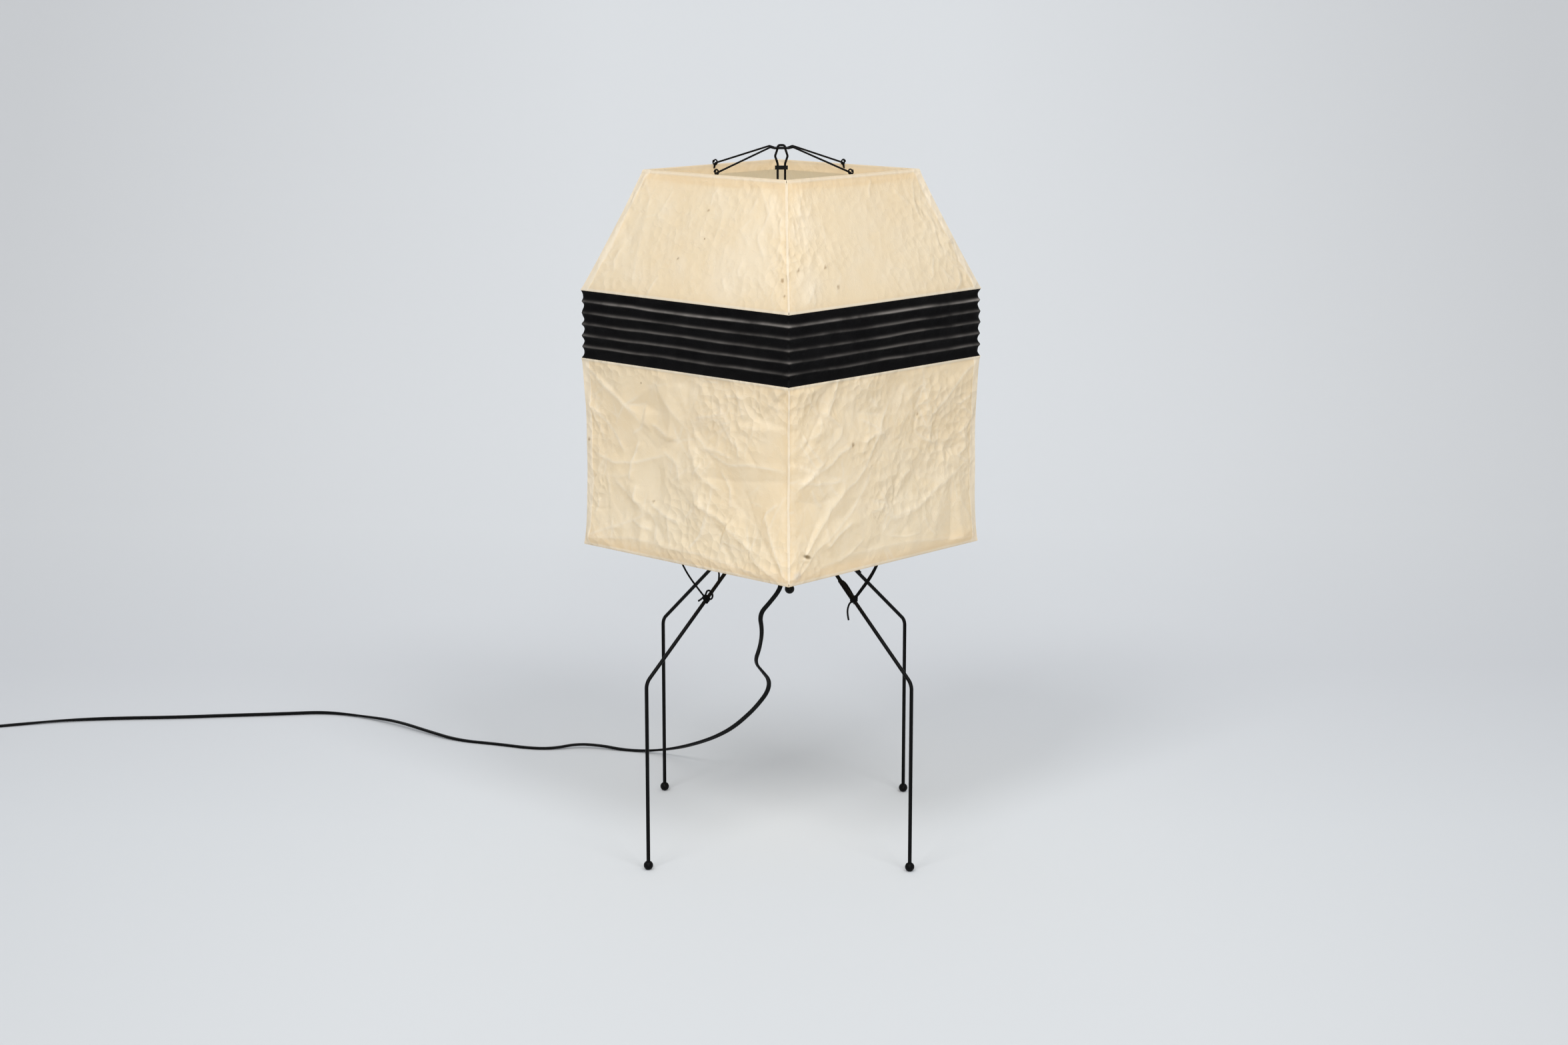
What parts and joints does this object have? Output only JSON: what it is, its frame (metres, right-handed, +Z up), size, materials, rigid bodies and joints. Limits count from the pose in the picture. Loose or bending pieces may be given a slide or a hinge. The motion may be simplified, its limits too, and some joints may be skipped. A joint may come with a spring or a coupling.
{
  "type": "paper table lamp",
  "caption": "Square paper lantern lamp with a sloping top, a black pleated band and a plain lower part, on bent wire legs with ball feet and a trailing cord.",
  "frame": {"origin": "on the floor under the middle of the lamp", "axes": "+Z up, shade sides along X and Y, front at -Y"},
  "size_m": [0.6999, 1.2202, 0.752],
  "materials": {
    "paper_cream": "aged hand-made paper, matt",
    "paper_black": "black dyed paper, matt",
    "wire_black": "black painted wire, satin",
    "rib_steel": "plain steel wire",
    "rubber_black": "matt black rubber",
    "hub_black": "black painted, turned",
    "screw_steel": "plain steel",
    "holder_black": "black moulded, half gloss",
    "ceramic_white": "unglazed white ceramic",
    "brass": "bright brass",
    "bulb_opal": "opal white glass",
    "string_black": "twisted black string",
    "bead_black": "black turned bead",
    "cord_black": "black flat twin flex",
    "plug_black": "black moulded plug"
  },
  "bodies": {
    "stand": {"leg_right": "wire_black", "leg_back": "wire_black", "leg_left": "wire_black", "leg_front": "wire_black", "harp": "wire_black", "harp_ferrule": "wire_black", "foot_right": "rubber_black", "foot_back": "rubber_black", "foot_left": "rubber_black", "foot_front": "rubber_black", "cord_grip": "rubber_black", "hub": "hub_black", "leg_screws": "screw_steel", "plug_blades": "screw_steel", "holder_body": "holder_black", "holder_cap": "holder_black", "clamp_ring_upper": "holder_black", "clamp_ring_lower": "holder_black", "pull_switch": "holder_black", "contact_block": "ceramic_white", "pull_guide": "brass", "screw_shell": "brass", "centre_contact": "brass", "bulb_cap": "brass", "bulb_tip": "brass", "bulb_glass": "bulb_opal", "cord_lead": "cord_black", "cord_tail": "cord_black", "cord_coil": "cord_black", "plug_body": "plug_black", "coil_band": "plug_black"},
    "shade_top": {"spider_eye": "wire_black", "spider_arm_right": "wire_black", "spider_arm_back": "wire_black", "spider_arm_left": "wire_black", "spider_arm_front": "wire_black", "top_rim": "rib_steel", "shoulder_rim": "rib_steel", "upper_paper_right": "paper_cream", "upper_paper_back": "paper_cream", "upper_paper_left": "paper_cream", "upper_paper_front": "paper_cream", "band_paper": "paper_black"},
    "shade_skirt": {"band_foot_rim": "rib_steel", "bottom_rim": "rib_steel", "lower_paper_right": "paper_cream", "lower_paper_back": "paper_cream", "lower_paper_left": "paper_cream", "lower_paper_front": "paper_cream", "tie_right": "string_black", "tie_back": "string_black", "tie_left": "string_black", "tie_front": "string_black"},
    "rib_1": {"pleat_rib_1": "rib_steel"},
    "rib_2": {"pleat_rib_2": "rib_steel"},
    "rib_3": {"pleat_rib_3": "rib_steel"},
    "rib_4": {"pleat_rib_4": "rib_steel"},
    "rib_5": {"pleat_rib_5": "rib_steel"},
    "pull": {"pull_string": "string_black", "pull_bead": "bead_black"}
  },
  "joints": [
    {"name": "shade_lift", "type": "slide", "parent": "stand", "child": "shade_top", "axis": [0, 0, 1], "range_m": [0, 0.43]},
    {"name": "band_fold", "type": "slide", "parent": "shade_top", "child": "shade_skirt", "axis": [0, 0, 1], "range_m": [0, 0.052], "deforming": ["band_paper"]},
    {"name": "rib_1_slide", "type": "slide", "parent": "shade_top", "child": "rib_1", "axis": [0, 0, 1], "range_m": [0, 0.00917]},
    {"name": "rib_2_slide", "type": "slide", "parent": "shade_top", "child": "rib_2", "axis": [0, 0, 1], "range_m": [0, 0.01783]},
    {"name": "rib_3_slide", "type": "slide", "parent": "shade_top", "child": "rib_3", "axis": [0, 0, 1], "range_m": [0, 0.0265]},
    {"name": "rib_4_slide", "type": "slide", "parent": "shade_top", "child": "rib_4", "axis": [0, 0, 1], "range_m": [0, 0.03517]},
    {"name": "rib_5_slide", "type": "slide", "parent": "shade_top", "child": "rib_5", "axis": [0, 0, 1], "range_m": [0, 0.04383]},
    {"name": "switch_pull", "type": "slide", "parent": "stand", "child": "pull", "axis": [0, 0, -1], "range_m": [0, 0.008], "stiffness_N_per_m": 300, "springref_m": -0.003}
  ],
  "couplings": [
    {"joint": "rib_1_slide", "follows": "band_fold", "ratio": 0.16667},
    {"joint": "rib_2_slide", "follows": "band_fold", "ratio": 0.33333},
    {"joint": "rib_3_slide", "follows": "band_fold", "ratio": 0.5},
    {"joint": "rib_4_slide", "follows": "band_fold", "ratio": 0.66667},
    {"joint": "rib_5_slide", "follows": "band_fold", "ratio": 0.83333}
  ]
}
